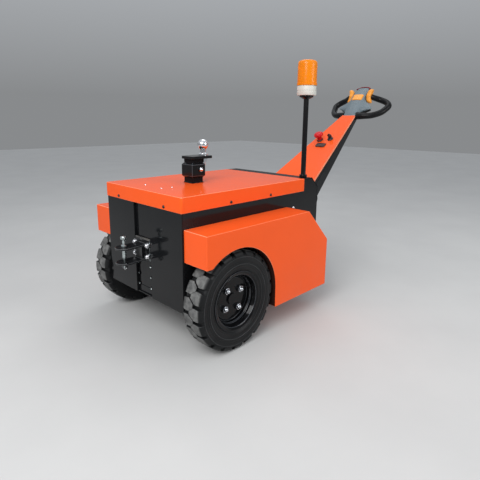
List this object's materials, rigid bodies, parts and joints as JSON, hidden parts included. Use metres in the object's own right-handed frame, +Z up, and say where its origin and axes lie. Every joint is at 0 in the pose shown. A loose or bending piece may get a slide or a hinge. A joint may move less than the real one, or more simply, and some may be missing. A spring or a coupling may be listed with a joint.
{
  "type": "pedestrian electric tow tug",
  "caption": "Walk-behind electric tow tug with lugged drive wheels, fenders, lid with tow ball, drop-pin jaw, beacon, swivel caster and tilting tiller.",
  "frame": {"origin": "on the ground, under the middle of the length and width", "axes": "+X from the hitch to the tiller, +Y to the vehicle's left, +Z up"},
  "size_m": [1.9506, 0.8046, 1.195],
  "materials": {
    "body_black": "gloss",
    "orange_paint": "gloss",
    "chrome": "polished",
    "zinc": "satin",
    "tyre": "matte",
    "caster_wheel": "matte",
    "battery_grey": "matte",
    "drive_iron": "satin",
    "beacon_white": "satin",
    "beacon_amber": "gloss",
    "console_grey": "satin",
    "control_yellow": "satin",
    "grip_rubber": "satin",
    "red_plastic": "gloss",
    "switch_black": "satin"
  },
  "bodies": {
    "chassis": {"front_panels": "body_black", "mast_plate": "body_black", "side_panels": "body_black", "rear_cover": "body_black", "floor_pan": "body_black", "lid": "orange_paint", "fender_left": "orange_paint", "fender_right": "orange_paint", "batteries": "battery_grey", "drive_unit": "drive_iron", "coupling_jaw": "body_black", "coupling_bolts": "chrome", "drop_pin": "zinc", "pin_clip": "zinc", "tow_post": "body_black", "tow_sleeve": "body_black", "ball_plate": "body_black", "tow_ball": "chrome", "post_bolt": "chrome", "beacon_pole": "body_black", "beacon_base": "beacon_white", "beacon_lens": "beacon_amber", "caster_plate": "zinc", "tiller_bracket": "body_black", "tiller_pivot": "zinc"},
    "wheel_left": {"hub_left": "body_black", "rim_left": "body_black", "tyre_left": "tyre", "wheel_nuts_left": "chrome"},
    "wheel_right": {"hub_right": "body_black", "rim_right": "body_black", "tyre_right": "tyre", "wheel_nuts_right": "chrome"},
    "caster_fork": {"caster_fork": "zinc"},
    "caster_wheel": {"caster_wheel": "caster_wheel"},
    "tiller": {"tiller_arm": "body_black", "tiller_cover": "orange_paint", "console": "console_grey", "grip_loops": "grip_rubber", "throttle_knobs": "control_yellow", "horn_bar": "control_yellow", "belly_switch": "red_plastic", "stop_button": "red_plastic", "key_switch": "switch_black", "charge_meter": "switch_black"}
  },
  "joints": [
    {"name": "wheel_left_spin", "type": "hinge", "parent": "chassis", "child": "wheel_left", "pos_m": [-0.67165, 0.343, 0.2075], "axis": [0, 1, 0], "continuous": true},
    {"name": "wheel_right_spin", "type": "hinge", "parent": "chassis", "child": "wheel_right", "pos_m": [-0.67165, -0.343, 0.2075], "axis": [0, 1, 0], "continuous": true},
    {"name": "caster_swivel", "type": "hinge", "parent": "chassis", "child": "caster_fork", "pos_m": [-0.08865, 0, 0.23], "axis": [0, 0, 1], "continuous": true},
    {"name": "caster_spin", "type": "hinge", "parent": "caster_fork", "child": "caster_wheel", "pos_m": [-0.03865, 0, 0.1], "axis": [0, 1, 0], "continuous": true},
    {"name": "tiller_tilt", "type": "hinge", "parent": "chassis", "child": "tiller", "pos_m": [0.13135, 0, 0.49], "axis": [0, -1, 0], "range_deg": [-25, 50]}
  ]
}
